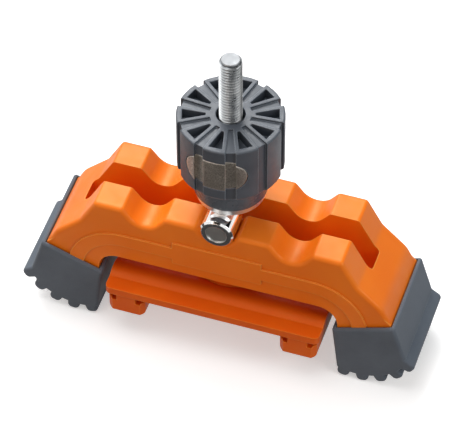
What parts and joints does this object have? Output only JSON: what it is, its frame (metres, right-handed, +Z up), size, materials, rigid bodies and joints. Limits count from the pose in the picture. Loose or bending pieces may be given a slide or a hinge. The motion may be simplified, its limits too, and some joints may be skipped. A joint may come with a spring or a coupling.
{
  "type": "bridge clamp with quick-release screw knob",
  "caption": "Moulded bridge on rubber boots with a cross pin in a notch, a long bolt, a T-railed clamp plate under it and a quick-release screw knob on top.",
  "frame": {"origin": "on the floor under the middle of the bridge, where the boots stand", "axes": "+X along the bridge from boot to boot, +Y across it, +Z up along the bolt; the release button faces -Y"},
  "size_m": [0.1432, 0.046, 0.1254],
  "materials": {
    "orange_nylon": "satin moulded",
    "boot_rubber": "matt",
    "zinc_steel": "zinc plated",
    "spring_steel": "bright drawn",
    "chrome": "polished",
    "knob_plastic": "satin moulded",
    "hub_plastic": "smooth moulded",
    "cast_metal": "tumbled die casting"
  },
  "bodies": {
    "bridge": {"bridge_body": "orange_nylon", "left_boot": "boot_rubber", "right_boot": "boot_rubber"},
    "trunnion": {"cross_pin": "chrome", "thrust_washer": "chrome"},
    "screw": {"draw_bolt": "zinc_steel", "bolt_retainer": "spring_steel", "clamp_plate": "orange_nylon"},
    "knob": {"knob_grip": "knob_plastic", "knob_hub": "hub_plastic", "button_spring": "spring_steel", "button_stop_pin": "spring_steel"},
    "button": {"release_button": "cast_metal"}
  },
  "joints": [
    {"name": "trunnion_swing", "type": "hinge", "parent": "bridge", "child": "trunnion", "pos_m": [0, 0, 0.0565], "axis": [0, 1, 0], "range_deg": [-2, 2]},
    {"name": "knob_spin", "type": "hinge", "parent": "trunnion", "child": "knob", "pos_m": [0, 0, 0.08], "axis": [0, 0, 1], "range_deg": [-540, 7200]},
    {"name": "bolt_feed", "type": "slide", "parent": "trunnion", "child": "screw", "axis": [0, 0, 1], "range_m": [-0.02501, 0.00188]},
    {"name": "button_press", "type": "slide", "parent": "knob", "child": "button", "axis": [0, 1, 0], "range_m": [0, 0.002], "stiffness_N_per_m": 900, "springref_m": -0.0023, "deforming": ["button_spring"]}
  ],
  "couplings": [
    {"joint": "bolt_feed", "follows": "knob_spin", "m_per_rad": -0.00019894}
  ]
}
